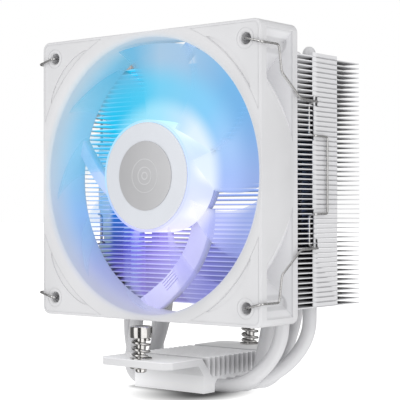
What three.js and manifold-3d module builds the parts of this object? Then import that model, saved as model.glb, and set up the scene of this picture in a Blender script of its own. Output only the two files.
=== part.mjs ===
// Tower cooler for a processor: a 120 mm fan clipped to a stack of 52 aluminium fins,
// four 6 mm heat pipes and a ribbed contact base with two sprung mounting screws.
//
// Millimetres, +Z up. The origin is the centre of the contact face under the base.
// The fan's intake side faces -Y and its air leaves through the fins towards +Y.

import * as THREE from 'three';
import { mergeVertices } from 'three/addons/utils/BufferGeometryUtils.js';
import Module from 'manifold-3d';

// ---------------------------------------------------------------- driving dimensions

// Fan: standard 120 x 120 x 25 mm, holes on a 105 mm square.
const FAN_SIZE = 120;
const FAN_DEPTH = 25;
const FAN_HOLE_OFFSET = 105 / 2;
const FAN_HOLE_RADIUS = 2.4;
const FAN_CORNER_RADIUS = 3.5;
const FAN_FLANGE = 3.7;
const FAN_FRONT_Y = -35.5;
const FAN_BOTTOM_Z = 30.3;
const FAN_CENTRE_Z = FAN_BOTTOM_Z + FAN_SIZE / 2;
const DUCT_RADIUS = 57.6;
const DUCT_BODY_FRONT_RADIUS = 70;
const DUCT_BODY_REAR_RADIUS = 61.1;

// Fan rotor, as depths behind the fan's front plane.
const HUB_RADIUS = 23.4;
const HUB_WALL = 1.4;
const HUB_FRONT = 0.9;
const HUB_REAR = 18.2;
const CAP_RADIUS = 22.4;
const BADGE_RADIUS = 14.4;
const BLADE_COUNT = 9;
const BLADE_TIP_RADIUS = 56.4;
const BLADE_FRONT = 3.4;
const BLADE_REAR = 19.2;
const BLADE_THICKNESS = 1.3;
const SHAFT_RADIUS = 1.5;

// Struts that hold the motor behind the blades.
const STRUT_FRONT = 20.5;
const STRUT_ANGLES = [81, 166, 346];
const CABLE_ARM_ANGLE = 254;
const STRUT_WIDTH = 5.5;
const CABLE_ARM_WIDTH = 9.5;
const MOTOR_PLATE_RADIUS = 21.5;

// Fin stack.
const FIN_COUNT = 52;
const FINS_PER_BLOCK = 4;
const FIN_PITCH = 2;
const FIN_THICKNESS = 0.4;
const FIN_HALF_WIDTH = 60;
const STACK_FRONT_Y = FAN_FRONT_Y + FAN_DEPTH;
const STACK_BACK_Y = 35.5;
const STACK_BOTTOM_Z = FAN_BOTTOM_Z + 6;
const FLANGE_DEPTHS = [36.9, 53.7];

// Cut-outs in the fin edges for the fan clips, as depths behind the fan's front plane and
// heights above its bottom. They are mirrored about the fan's middle height.
const CATCH_DEPTHS = [34.5, 36.9];
const CATCH_HEIGHTS = [75, 91];
const HOOK_DEPTHS = [34.5, 40];
const HOOK_HEIGHTS = [87.7, 91.3];
const CLIP_CUT_REACH = 3.1;

// Heat pipes: U-shaped, with legs that splay out from a close row in the base.
const PIPE_RADIUS = 3;
const PIPE_TOP_Z = FAN_BOTTOM_Z + 115;
const PIPE_BASE_Z = 2.2;
const PIPE_BASE_PITCH = 6.3;
const PIPE_GAP = 0.35;
const LEG_ROW_PITCH = 10;
const LEG_FIRST_ROW_Y = -2.5;
const WIDE_LEG_X = 46.5;
const NARROW_LEG_X = 33;
const SPLAY_LENGTH = 45;
const PIPE_SIDES = 8;

// Base: one ribbed aluminium block with an arm for a screw at the front and the back.
const BASE_HALF_X = 19.2;
const BASE_HALF_Y = 20;
const ARM_TOP_Z = 14.7;
const ARM_THICKNESS = 3;
const ARM_END_Y = 43;
const RIB_FLOOR_Z = 6.4;
const RIB_PITCH = 3.25;
const RIB_THICKNESS = 1.1;
const RIB_COUNT = 11;

// Mounting screws on 75 mm centres.
const SCREW_Y = 37.5;
const SCREW_SHANK_RADIUS = 2.1;
const SCREW_HEAD_RADIUS = 4.7;
const SCREW_HEAD_TOP_Z = ARM_TOP_Z + 13.6;
const SCREW_HEAD_HEIGHT = 4.8;
const WASHER_THICKNESS = 0.6;
const SPRING_WIRE_RADIUS = 0.6;
const SPRING_MEAN_RADIUS = 3.4;
const SPRING_TURNS = 3;

// Fan clips: spring-steel wire.
const CLIP_WIRE_RADIUS = 0.6;
const CLIP_SIDE_X = 61;

// ---------------------------------------------------------------- materials

const material = (color, roughness, metalness) =>
  new THREE.MeshStandardMaterial({ color, roughness, metalness });

const MATERIALS = {
  whitePlastic: () => material(0xe4e6ea, 0.5, 0),
  frosted: () => material(0xdfeaf6, 0.35, 0),
  badge: () => material(0xbfbfc1, 0.45, 0.3),
  whiteCoat: () => material(0xe6e7ea, 0.42, 0.1),
  steel: () => material(0xb9bcc2, 0.25, 1),
  darkSteel: () => material(0x6f7278, 0.4, 1),
  magnet: () => material(0x3b3c40, 0.6, 0.2),
  brass: () => material(0xb8913f, 0.35, 1),
  copper: () => material(0xb4653a, 0.4, 0.9),
  circuitBoard: () => material(0xf0f1f0, 0.5, 0),
};

// ---------------------------------------------------------------- solid helpers

const wasm = await Module();
wasm.setup();

/** A closed three.js geometry as a solid that can be cut and joined. */
function solidFrom(geometry) {
  const bare = geometry.clone();
  bare.deleteAttribute('normal');
  bare.deleteAttribute('uv');
  const merged = mergeVertices(bare, 1e-4);
  const corners = merged.index.array;
  const triangles = [];
  for (let i = 0; i < corners.length; i += 3) {
    const [a, b, c] = corners.slice(i, i + 3);
    if (a !== b && b !== c && c !== a) triangles.push(a, b, c);
  }
  return new wasm.Manifold(new wasm.Mesh({
    numProp: 3,
    vertProperties: new Float32Array(merged.attributes.position.array),
    triVerts: new Uint32Array(triangles),
  }));
}

function geometryFrom(solid) {
  const mesh = solid.getMesh();
  const geometry = new THREE.BufferGeometry();
  geometry.setAttribute('position', new THREE.BufferAttribute(mesh.vertProperties, 3));
  geometry.setIndex(new THREE.BufferAttribute(mesh.triVerts, 1));
  geometry.computeVertexNormals();
  return geometry;
}

const join = (solids) => solids.reduce((whole, solid) => whole.add(solid));

const outline = (points) => new THREE.Shape(points.map(([x, y]) => new THREE.Vector2(x, y)));

function box(from, to) {
  const size = to.map((high, axis) => high - from[axis]);
  const centre = to.map((high, axis) => (high + from[axis]) / 2);
  return new THREE.BoxGeometry(...size).translate(...centre);
}

/** An XY outline extruded upwards from z0 to z1. */
function slabAlongZ(shape, z0, z1) {
  const geometry = new THREE.ExtrudeGeometry(shape, { depth: z1 - z0, bevelEnabled: false });
  return geometry.translate(0, 0, z0);
}

/** An outline drawn in fan coordinates (x, z about the axis) between two fan depths. */
function slabInFan(shape, front, rear) {
  const depth = rear - front;
  const settings = { depth, bevelEnabled: false, curveSegments: 6 };
  const geometry = new THREE.ExtrudeGeometry(shape, settings).rotateX(Math.PI / 2);
  return geometry.translate(0, FAN_FRONT_Y + rear, FAN_CENTRE_Z);
}

/** A ring or disc about the fan's axis; the profile runs anticlockwise as [radius, depth]. */
function turnedInFan(profile, segments = 32) {
  const points = profile.map(([radius, depth]) => new THREE.Vector2(radius, depth));
  return new THREE.LatheGeometry(points, segments).translate(0, FAN_FRONT_Y, FAN_CENTRE_Z);
}

/** A turned piece about an upright axis; the profile runs anticlockwise as [radius, z]. */
function turnedUpright(profile, segments = 18) {
  const points = profile.map(([radius, z]) => new THREE.Vector2(radius, z));
  return new THREE.LatheGeometry(points, segments).rotateX(Math.PI / 2);
}

const ringProfile = (inner, outer, low, high) => [
  [inner, low], [outer, low], [outer, high], [inner, high], [inner, low],
];

const discProfile = (radius, low, high) => [[0, low], [radius, low], [radius, high], [0, high]];

// ---------------------------------------------------------------- bent tubes and wires

/** A line through given points, whose sections are mitred at each point. */
class BentLine extends THREE.Curve {
  constructor(points) {
    super();
    this.points = points;
  }

  getUtoTmapping(u) {
    return u;
  }

  getPoint(t, target = new THREE.Vector3()) {
    const place = t * (this.points.length - 1);
    const index = Math.min(Math.floor(place), this.points.length - 2);
    return target.lerpVectors(this.points[index], this.points[index + 1], place - index);
  }

  getTangent(t, target = new THREE.Vector3()) {
    const last = this.points.length - 1;
    const index = Math.round(t * last);
    const before = this.points[Math.max(index - 1, 0)];
    const here = this.points[index];
    const after = this.points[Math.min(index + 1, last)];
    const arriving = here.clone().sub(before).normalize();
    const leaving = after.clone().sub(here).normalize();
    return target.addVectors(arriving, leaving).normalize();
  }
}

function tubeAlong(points, radius, sides) {
  const section = [];
  for (let i = 0; i < sides; i += 1) {
    const angle = (2 * Math.PI * i) / sides;
    section.push([radius * Math.cos(angle), radius * Math.sin(angle)]);
  }
  const extrudePath = new BentLine(points);
  return new THREE.ExtrudeGeometry(outline(section), { steps: points.length - 1, extrudePath });
}

/** Rounds each inner corner of a route with a quadratic bend that starts `bend` before it. */
function roundedRoute(corners, bend, stepsPerBend) {
  const points = [corners[0]];
  for (let i = 1; i < corners.length - 1; i += 1) {
    const reach = Math.min(
      bend,
      corners[i].distanceTo(corners[i - 1]) * 0.45,
      corners[i].distanceTo(corners[i + 1]) * 0.45,
    );
    const towards = (other) => corners[i].clone().add(
      other.clone().sub(corners[i]).setLength(reach),
    );
    const arc = new THREE.QuadraticBezierCurve3(
      towards(corners[i - 1]), corners[i], towards(corners[i + 1]),
    );
    points.push(...arc.getPoints(stepsPerBend));
  }
  points.push(corners[corners.length - 1]);
  return points;
}

// ---------------------------------------------------------------- the assembly

const cooler = new THREE.Group();
cooler.name = 'tower_cooler';

function addPiece(name, geometry, look) {
  const mesh = new THREE.Mesh(geometry, look);
  mesh.name = name;
  cooler.add(mesh);
}

// ---------------------------------------------------------------- fan frame

const degrees = (angle) => (angle * Math.PI) / 180;

const polar = (radius, angle) => [
  radius * Math.cos(degrees(angle)),
  radius * Math.sin(degrees(angle)),
];

function roundedSquare(half, radius) {
  const shape = new THREE.Shape();
  for (let corner = 0; corner < 4; corner += 1) {
    const start = corner * (Math.PI / 2);
    const x = (corner === 0 || corner === 3 ? 1 : -1) * (half - radius);
    const y = (corner < 2 ? 1 : -1) * (half - radius);
    shape.absarc(x, y, radius, start, start + Math.PI / 2, false);
  }
  return shape;
}

/** The open pocket on one side of the frame, between its two flanges. */
function sidePocket(quarterTurns) {
  const half = FAN_SIZE / 2;
  const upper = [[half + 2, half - 1], [55.5, 52.5], [55.5, 49.8], [38, 32.3]];
  const lower = upper.map(([x, z]) => [x, -z]).reverse();
  const prism = slabInFan(outline([...lower, ...upper]), FAN_FLANGE, FAN_DEPTH - FAN_FLANGE);
  prism.translate(0, 0, -FAN_CENTRE_Z);
  prism.rotateY(quarterTurns * (Math.PI / 2));
  return solidFrom(prism.translate(0, 0, FAN_CENTRE_Z));
}

/** A strut that sweeps round the axis as it runs in from the duct wall to the motor plate. */
function strutShape(outerAngle, width) {
  const steps = 7;
  const outerRadius = DUCT_RADIUS + 4;
  const innerRadius = MOTOR_PLATE_RADIUS - 2;
  const centreLine = [];
  for (let i = 0; i <= steps; i += 1) {
    const radius = outerRadius + ((innerRadius - outerRadius) * i) / steps;
    const run = DUCT_RADIUS - radius;
    const sweep = 0.9 * run + 0.017 * run * run;
    centreLine.push(new THREE.Vector2(...polar(radius, outerAngle + sweep)));
  }
  const side = (sign) => centreLine.map((point, i) => {
    const next = centreLine[Math.min(i + 1, steps)];
    const previous = centreLine[Math.max(i - 1, 0)];
    const along = next.clone().sub(previous).normalize();
    return [point.x - (sign * along.y * width) / 2, point.y + (sign * along.x * width) / 2];
  });
  return outline([...side(1), ...side(-1).reverse()]);
}

function fanFrame() {
  const bore = [
    [0, -1], [DUCT_RADIUS + 4, -1], [DUCT_RADIUS + 3.8, 0], [DUCT_RADIUS + 1.8, 0.3],
    [DUCT_RADIUS + 0.6, 1], [DUCT_RADIUS, 2.2], [DUCT_RADIUS, FAN_DEPTH + 1], [0, FAN_DEPTH + 1],
  ];
  const ductBody = solidFrom(turnedInFan([
    [0, FAN_FLANGE - 0.5], [DUCT_BODY_FRONT_RADIUS, FAN_FLANGE - 0.5],
    [DUCT_BODY_REAR_RADIUS, FAN_DEPTH - FAN_FLANGE + 0.5], [0, FAN_DEPTH - FAN_FLANGE + 0.5],
  ], 60));
  let frame = solidFrom(slabInFan(roundedSquare(FAN_SIZE / 2, FAN_CORNER_RADIUS), 0, FAN_DEPTH));
  for (let quarter = 0; quarter < 4; quarter += 1) {
    frame = frame.subtract(sidePocket(quarter).subtract(ductBody));
    const [x, z] = polar(FAN_HOLE_OFFSET * Math.SQRT2, 45 + 90 * quarter);
    const hole = turnedInFan(discProfile(FAN_HOLE_RADIUS, -1, FAN_DEPTH + 1), 14);
    frame = frame.subtract(solidFrom(hole.translate(x, 0, z)));
  }
  frame = frame.subtract(solidFrom(turnedInFan(bore, 60)));

  const motorPlate = turnedInFan([
    [0, 23], [4, 23], [4, 7], [5.6, 7], [5.6, 21],
    [MOTOR_PLATE_RADIUS, 21], [MOTOR_PLATE_RADIUS, FAN_DEPTH], [0, FAN_DEPTH],
  ]);
  const struts = STRUT_ANGLES.map((angle) => strutShape(angle, STRUT_WIDTH));
  struts.push(strutShape(CABLE_ARM_ANGLE, CABLE_ARM_WIDTH));
  const centre = join([
    solidFrom(motorPlate),
    ...struts.map((shape) => solidFrom(slabInFan(shape, STRUT_FRONT, FAN_DEPTH))),
  ]);
  const motorRoom = solidFrom(turnedInFan(ringProfile(5.6, MOTOR_PLATE_RADIUS + 1, 19, 21)));
  const withinDuctWall = solidFrom(turnedInFan(discProfile(DUCT_RADIUS + 1, 0, FAN_DEPTH), 60));
  return geometryFrom(frame.add(centre.subtract(motorRoom).intersect(withinDuctWall)));
}

addPiece('fan_frame', fanFrame(), MATERIALS.whitePlastic());

// ---------------------------------------------------------------- fan rotor

/** One twisted blade, bent out of a flat bar: u runs from hub to tip, v from rear to front. */
function blade(index) {
  const geometry = new THREE.BoxGeometry(1, 1, 1, 5, 3, 1);
  const position = geometry.attributes.position;
  for (let i = 0; i < position.count; i += 1) {
    const u = position.getX(i) + 0.5;
    const v = position.getY(i);
    const side = position.getZ(i);
    const radius = HUB_RADIUS - 0.8 + u * (BLADE_TIP_RADIUS - HUB_RADIUS + 0.8);
    const spread = 30 - 3 * u;
    const rake = 16 * u * u;
    const angle = degrees((360 * index) / BLADE_COUNT + v * spread + rake);
    const camber = 2.2 * (0.25 - v * v);
    const height = (BLADE_REAR - BLADE_FRONT) * (1 - 0.1 * u);
    const middle = (BLADE_FRONT + BLADE_REAR) / 2 - v * height * 0.9 - camber;
    const depth = middle - side * BLADE_THICKNESS;
    position.setXYZ(
      i, radius * Math.cos(angle), FAN_FRONT_Y + depth, FAN_CENTRE_Z + radius * Math.sin(angle),
    );
  }
  return geometry;
}

function impeller() {
  const innerRadius = HUB_RADIUS - HUB_WALL;
  const hub = solidFrom(turnedInFan([
    [0, 2.4], [CAP_RADIUS + 0.4, 2.4], [CAP_RADIUS + 0.4, HUB_FRONT], [HUB_RADIUS, HUB_FRONT],
    [HUB_RADIUS, HUB_REAR], [innerRadius, HUB_REAR], [innerRadius, 3.8], [3.2, 3.8],
    [3.2, 6.6], [SHAFT_RADIUS + 0.3, 6.6], [SHAFT_RADIUS + 0.3, 3.4], [0, 3.4],
  ]));
  const blades = Array.from({ length: BLADE_COUNT }, (_, index) => solidFrom(blade(index)));
  return geometryFrom(join([hub, ...blades]));
}

addPiece('impeller', impeller(), MATERIALS.frosted());
addPiece('hub_cap', turnedInFan(discProfile(CAP_RADIUS, 0.6, 2.1)), MATERIALS.whitePlastic());
addPiece('hub_badge', turnedInFan(discProfile(BADGE_RADIUS, 0.2, 0.5)), MATERIALS.badge());
addPiece('flux_ring', turnedInFan(ringProfile(20, 21.6, 4.3, 17.6)), MATERIALS.darkSteel());
addPiece('magnet_ring', turnedInFan(ringProfile(18.2, 19.6, 5, 17)), MATERIALS.magnet());
addPiece('rotor_shaft', turnedInFan(discProfile(SHAFT_RADIUS, 3.7, 22.4), 16), MATERIALS.steel());

// ---------------------------------------------------------------- fan motor, fixed half

const POLE_HALF_WIDTH = 2.2;
const POLE_COUNT = 4;

/** A box given in fan coordinates, turned round the fan's axis. */
function boxInFan(from, to, angle) {
  const geometry = box(from, to).rotateY(-degrees(angle));
  return geometry.translate(0, FAN_FRONT_Y, FAN_CENTRE_Z);
}

function statorCore() {
  const shoes = solidFrom(turnedInFan(ringProfile(15.6, 17.4, 7, 15)));
  let core = join([shoes, solidFrom(turnedInFan(ringProfile(6, 8.5, 7, 15)))]);
  for (let pole = 0; pole < POLE_COUNT; pole += 1) {
    const angle = (360 / POLE_COUNT) * pole;
    const neck = boxInFan([7.5, 7, -POLE_HALF_WIDTH], [16.5, 15, POLE_HALF_WIDTH], angle);
    const slot = boxInFan([14, 6, -1.2], [19, 16, 1.2], angle + 180 / POLE_COUNT);
    core = core.add(solidFrom(neck)).subtract(solidFrom(slot));
  }
  return geometryFrom(core);
}

function coil(pole) {
  const gap = 0.3;
  const winding = 2.2;
  const innerHalf = POLE_HALF_WIDTH + gap;
  const outerHalf = innerHalf + winding;
  const angle = (360 / POLE_COUNT) * pole;
  const front = 7 - gap;
  const rear = 15 + gap;
  const outside = boxInFan(
    [9, front - winding, -outerHalf], [14.4, rear + winding, outerHalf], angle,
  );
  const inside = boxInFan([8, front, -innerHalf], [16, rear, innerHalf], angle);
  return geometryFrom(solidFrom(outside).subtract(solidFrom(inside)));
}

function lightBoard() {
  const ledCount = 8;
  const leds = Array.from({ length: ledCount }, (_, i) => {
    const angle = 6 + (360 / ledCount) * i;
    return solidFrom(boxInFan([19.4, 18.9, -1.6], [21.7, 20, 1.6], angle));
  });
  const board = turnedInFan(ringProfile(6.2, 21.8, 19.6, 20.7));
  return geometryFrom(join([solidFrom(board), ...leds]));
}

const sleeve = turnedInFan(ringProfile(SHAFT_RADIUS + 0.12, 3.6, 7.5, 22.3), 16);
addPiece('bearing_sleeve', sleeve, MATERIALS.brass());
addPiece('stator_core', statorCore(), MATERIALS.darkSteel());
for (let pole = 0; pole < POLE_COUNT; pole += 1) {
  addPiece(`stator_coil_${pole + 1}`, coil(pole), MATERIALS.copper());
}
addPiece('light_board', lightBoard(), MATERIALS.circuitBoard());

// ---------------------------------------------------------------- fan clips

/** One wire clip: its two tips sit in the fan's front holes and its bends hook in the fins. */
function wireClip(side) {
  const upperHalf = [
    [FAN_HOLE_OFFSET, 1.5, 112.5],
    [FAN_HOLE_OFFSET, -1, 112.5],
    [CLIP_SIDE_X, -1, 110.4],
    [CLIP_SIDE_X, 10.4, 110.5],
    [CLIP_SIDE_X, 12.3, 99.8],
    [CLIP_SIDE_X, 25.6, 90.2],
    [CLIP_SIDE_X, 38.3, 89.8],
    [CLIP_SIDE_X - 3, 38.1, 89.5],
    [CLIP_SIDE_X - 3, 35.75, 88.7],
    [CLIP_SIDE_X - 3, 35.75, 76.4],
    [CLIP_SIDE_X, 36, 75.9],
    [CLIP_SIDE_X, 44.7, 75.8],
  ];
  const lowerHalf = upperHalf
    .map(([x, depth, height]) => [x, depth, FAN_SIZE - height])
    .reverse();
  const corners = [...upperHalf, ...lowerHalf].map(([x, depth, height]) => (
    new THREE.Vector3(side * x, FAN_FRONT_Y + depth, FAN_BOTTOM_Z + height)
  ));
  return tubeAlong(roundedRoute(corners, 1.4, 2), CLIP_WIRE_RADIUS, 6);
}

addPiece('right_clip', wireClip(1), MATERIALS.steel());
addPiece('left_clip', wireClip(-1), MATERIALS.steel());

// ---------------------------------------------------------------- heat pipes

/** Where each leg stands: the wide leg alternates between right and left from row to row. */
const PIPES = Array.from({ length: 4 }, (_, row) => {
  const wideSide = row % 2 === 0 ? 1 : -1;
  return {
    name: `heat_pipe_${row + 1}`,
    baseY: (row - 1.5) * PIPE_BASE_PITCH,
    legY: LEG_FIRST_ROW_Y + row * LEG_ROW_PITCH,
    legX: { [wideSide]: WIDE_LEG_X, [-wideSide]: NARROW_LEG_X },
  };
});

/** Half of a pipe's centre line, from the edge of the base to the top of its leg. */
function legRoute(side, pipe) {
  const legX = pipe.legX[side];
  const straight = legX === WIDE_LEG_X ? 1 : 5;
  const bendRadius = legX - BASE_HALF_X - straight;
  const arcLength = (bendRadius * Math.PI) / 2;
  const bendTopZ = PIPE_BASE_Z + bendRadius;
  const pointAt = (run) => {
    let x = BASE_HALF_X + run;
    let z = PIPE_BASE_Z;
    if (run > straight + arcLength) {
      x = legX;
      z = bendTopZ + run - straight - arcLength;
    } else if (run > straight) {
      const turn = (run - straight) / bendRadius;
      x = BASE_HALF_X + straight + bendRadius * Math.sin(turn);
      z = PIPE_BASE_Z + bendRadius * (1 - Math.cos(turn));
    }
    const splay = (1 - Math.cos(Math.PI * Math.min(run / SPLAY_LENGTH, 1))) / 2;
    return new THREE.Vector3(side * x, pipe.baseY + (pipe.legY - pipe.baseY) * splay, z);
  };
  const steps = 10;
  const route = Array.from({ length: steps + 1 }, (_, i) => pointAt((SPLAY_LENGTH * i) / steps));
  route.push(new THREE.Vector3(side * legX, pipe.legY, PIPE_TOP_Z - PIPE_RADIUS));
  return route;
}

function heatPipe(pipe) {
  const right = legRoute(1, pipe);
  const left = legRoute(-1, pipe);
  let solid = solidFrom(tubeAlong([...left.reverse(), ...right], PIPE_RADIUS, PIPE_SIDES));
  for (const side of [1, -1]) {
    const dome = new THREE.SphereGeometry(PIPE_RADIUS * 0.94, PIPE_SIDES, 6);
    dome.translate(side * pipe.legX[side], pipe.legY, PIPE_TOP_Z - PIPE_RADIUS - 0.05);
    solid = solid.add(solidFrom(dome));
  }
  const floor = box([-60, -60, -10], [60, 60, 0]);
  return geometryFrom(solid.subtract(solidFrom(floor)));
}

for (const pipe of PIPES) addPiece(pipe.name, heatPipe(pipe), MATERIALS.whiteCoat());

// ---------------------------------------------------------------- fin stack

/** A box given as x distances from the middle plane, fan depths and fan heights. */
function boxBesideFan(side, [nearX, farX], [front, rear], [low, high]) {
  const xs = [side * nearX, side * farX].sort((a, b) => a - b);
  const from = [xs[0], FAN_FRONT_Y + front, FAN_BOTTOM_Z + low];
  return solidFrom(box(from, [xs[1], FAN_FRONT_Y + rear, FAN_BOTTOM_Z + high]));
}

/** What is cut out of the fin edges so that the wire clips can hook in. */
function clipCuts() {
  const reach = [FIN_HALF_WIDTH - CLIP_CUT_REACH, FIN_HALF_WIDTH + 2];
  const mirrored = (heights) => heights.map((height) => FAN_SIZE - height).reverse();
  return join([1, -1].flatMap((side) => [
    boxBesideFan(side, reach, CATCH_DEPTHS, CATCH_HEIGHTS),
    boxBesideFan(side, reach, CATCH_DEPTHS, mirrored(CATCH_HEIGHTS)),
    boxBesideFan(side, reach, HOOK_DEPTHS, HOOK_HEIGHTS),
    boxBesideFan(side, reach, HOOK_DEPTHS, mirrored(HOOK_HEIGHTS)),
  ]));
}

/** The square passages that the pipe legs take through the fins between two heights. */
function legPassages(bottom, top) {
  const reach = PIPE_RADIUS + PIPE_GAP;
  const passages = [];
  for (const pipe of PIPES) {
    for (const side of [1, -1]) {
      const x = side * pipe.legX[side];
      const low = [x - reach, pipe.legY - reach, bottom];
      passages.push(solidFrom(box(low, [x + reach, pipe.legY + reach, top])));
    }
  }
  return join(passages);
}

/** Four fins, joined by the folded flanges along their sides. */
function finBlock(index) {
  const bottom = STACK_BOTTOM_Z + index * FINS_PER_BLOCK * FIN_PITCH;
  const flangeTop = bottom + FINS_PER_BLOCK * FIN_PITCH - FIN_THICKNESS;
  const fins = Array.from({ length: FINS_PER_BLOCK }, (_, i) => {
    const z = bottom + i * FIN_PITCH;
    const from = [-FIN_HALF_WIDTH, STACK_FRONT_Y, z];
    return solidFrom(box(from, [FIN_HALF_WIDTH, STACK_BACK_Y, z + FIN_THICKNESS]));
  });
  const thickness = [FIN_HALF_WIDTH - FIN_THICKNESS, FIN_HALF_WIDTH];
  const heights = [bottom - FAN_BOTTOM_Z, flangeTop - FAN_BOTTOM_Z];
  const flanges = [1, -1].map((side) => boxBesideFan(side, thickness, FLANGE_DEPTHS, heights));
  const cuts = clipCuts().add(legPassages(bottom - 1, flangeTop + 1));
  return geometryFrom(join([...fins, ...flanges]).subtract(cuts));
}

for (let index = 0; index < FIN_COUNT / FINS_PER_BLOCK; index += 1) {
  const number = String(index + 1).padStart(2, '0');
  addPiece(`fin_block_${number}`, finBlock(index), MATERIALS.whiteCoat());
}

// ---------------------------------------------------------------- base

/** A YZ outline extruded along X, centred on the origin. */
function slabAlongX(shape, halfLength) {
  const geometry = new THREE.ExtrudeGeometry(shape, { depth: 2 * halfLength, bevelEnabled: false });
  const cycleAxes = new THREE.Matrix4().makeBasis(
    new THREE.Vector3(0, 1, 0), new THREE.Vector3(0, 0, 1), new THREE.Vector3(1, 0, 0),
  );
  return geometry.applyMatrix4(cycleAxes).translate(-halfLength, 0, 0);
}

function baseBlock() {
  const armUnder = ARM_TOP_Z - ARM_THICKNESS;
  const half = [
    [BASE_HALF_Y, 0], [BASE_HALF_Y, 7.3], [23.6, armUnder],
    [ARM_END_Y, armUnder], [ARM_END_Y, ARM_TOP_Z],
  ];
  const mirrored = half.map(([y, z]) => [-y, z]).reverse();
  let block = solidFrom(slabAlongX(outline([...half, ...mirrored]), BASE_HALF_X));

  const armChamfer = 3;
  const plan = [
    [BASE_HALF_X, -ARM_END_Y + armChamfer], [BASE_HALF_X, ARM_END_Y - armChamfer],
    [BASE_HALF_X - armChamfer, ARM_END_Y], [armChamfer - BASE_HALF_X, ARM_END_Y],
    [-BASE_HALF_X, ARM_END_Y - armChamfer], [-BASE_HALF_X, armChamfer - ARM_END_Y],
    [armChamfer - BASE_HALF_X, -ARM_END_Y], [BASE_HALF_X - armChamfer, -ARM_END_Y],
  ];
  block = block.intersect(solidFrom(slabAlongZ(outline(plan), -1, ARM_TOP_Z + 1)));

  const trough = [
    [-14.5, RIB_FLOOR_Z], [14.5, RIB_FLOOR_Z], [21.9, ARM_TOP_Z + 1], [-21.9, ARM_TOP_Z + 1],
  ];
  let slots = solidFrom(slabAlongX(outline(trough), BASE_HALF_X + 1));
  for (let rib = 0; rib < RIB_COUNT; rib += 1) {
    const y = (rib - (RIB_COUNT - 1) / 2) * RIB_PITCH;
    const low = [-BASE_HALF_X - 2, y - RIB_THICKNESS / 2, RIB_FLOOR_Z - 1];
    const high = [BASE_HALF_X + 2, y + RIB_THICKNESS / 2, ARM_TOP_Z + 2];
    slots = slots.subtract(solidFrom(box(low, high)));
  }
  block = block.subtract(slots);

  const grooveRadius = PIPE_RADIUS + PIPE_GAP;
  const rowHalf = 1.5 * PIPE_BASE_PITCH + grooveRadius;
  const channel = [solidFrom(box([-30, -rowHalf, -1], [30, rowHalf, PIPE_BASE_Z]))];
  for (const pipe of PIPES) {
    const groove = new THREE.CylinderGeometry(grooveRadius, grooveRadius, 60, 16);
    channel.push(solidFrom(groove.rotateZ(Math.PI / 2).translate(0, pipe.baseY, PIPE_BASE_Z)));
  }
  block = block.subtract(join(channel));

  for (const end of [1, -1]) {
    const hole = discProfile(SCREW_SHANK_RADIUS + 0.45, armUnder - 1, ARM_TOP_Z + 1);
    block = block.subtract(solidFrom(turnedUpright(hole).translate(0, end * SCREW_Y, 0)));
  }
  return geometryFrom(block);
}

addPiece('base_block', baseBlock(), MATERIALS.whiteCoat());

// ---------------------------------------------------------------- mounting screws

function mountingScrew() {
  const shank = SCREW_SHANK_RADIUS;
  const headBottom = SCREW_HEAD_TOP_Z - SCREW_HEAD_HEIGHT;
  const turned = turnedUpright([
    [0, 9.2], [1.9, 9.2], [2.4, 9.7], [2.4, 10.7], [1.7, 10.7], [1.7, 11.6], [shank, 11.6],
    [shank, headBottom], [SCREW_HEAD_RADIUS, headBottom],
    [SCREW_HEAD_RADIUS, SCREW_HEAD_TOP_Z - 0.4],
    [SCREW_HEAD_RADIUS - 0.4, SCREW_HEAD_TOP_Z], [0, SCREW_HEAD_TOP_Z],
  ]);
  const recessFloor = SCREW_HEAD_TOP_Z - 2;
  const recess = join([
    solidFrom(box([-3, -0.6, recessFloor], [3, 0.6, SCREW_HEAD_TOP_Z + 1])),
    solidFrom(box([-0.6, -3, recessFloor], [0.6, 3, SCREW_HEAD_TOP_Z + 1])),
  ]);
  return geometryFrom(solidFrom(turned).subtract(recess));
}

function springCoil() {
  const bottom = ARM_TOP_Z + WASHER_THICKNESS + 0.1 + SPRING_WIRE_RADIUS;
  const top = SCREW_HEAD_TOP_Z - SCREW_HEAD_HEIGHT - 0.1 - SPRING_WIRE_RADIUS;
  const steps = SPRING_TURNS * 10;
  const helix = Array.from({ length: steps + 1 }, (_, i) => {
    const turn = (2 * Math.PI * SPRING_TURNS * i) / steps;
    const x = SPRING_MEAN_RADIUS * Math.cos(turn);
    const y = -SPRING_MEAN_RADIUS * Math.sin(turn);
    return new THREE.Vector3(x, y, bottom + ((top - bottom) * i) / steps);
  });
  return tubeAlong(helix, SPRING_WIRE_RADIUS, 5);
}

function retainingRing() {
  const ring = solidFrom(turnedUpright(ringProfile(1.95, 4.7, 10.95, 11.45)));
  return geometryFrom(ring.subtract(solidFrom(box([0, -1.3, 10], [6, 1.3, 12]))));
}

for (const [place, y] of [['front', -SCREW_Y], ['rear', SCREW_Y]]) {
  const washer = turnedUpright(ringProfile(
    SCREW_SHANK_RADIUS + 0.4, 4.65, ARM_TOP_Z + 0.05, ARM_TOP_Z + WASHER_THICKNESS,
  ));
  addPiece(`${place}_screw`, mountingScrew().translate(0, y, 0), MATERIALS.steel());
  addPiece(`${place}_spring`, springCoil().translate(0, y, 0), MATERIALS.steel());
  addPiece(`${place}_washer`, washer.translate(0, y, 0), MATERIALS.steel());
  addPiece(`${place}_retaining_ring`, retainingRing().translate(0, y, 0), MATERIALS.steel());
}

export default cooler;
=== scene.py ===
"""Looks for a tower processor cooler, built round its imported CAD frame.

Shapes are in millimetres in the part's frame: +Z up, the fan's intake side faces -Y, and the
origin is the centre of the contact face under the base. Meshes are scaled to metres as they are
made. Materials and the studio are in metres throughout.
"""

from collections import namedtuple
from math import atan2, cos, pi, radians, sin, sqrt

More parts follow.
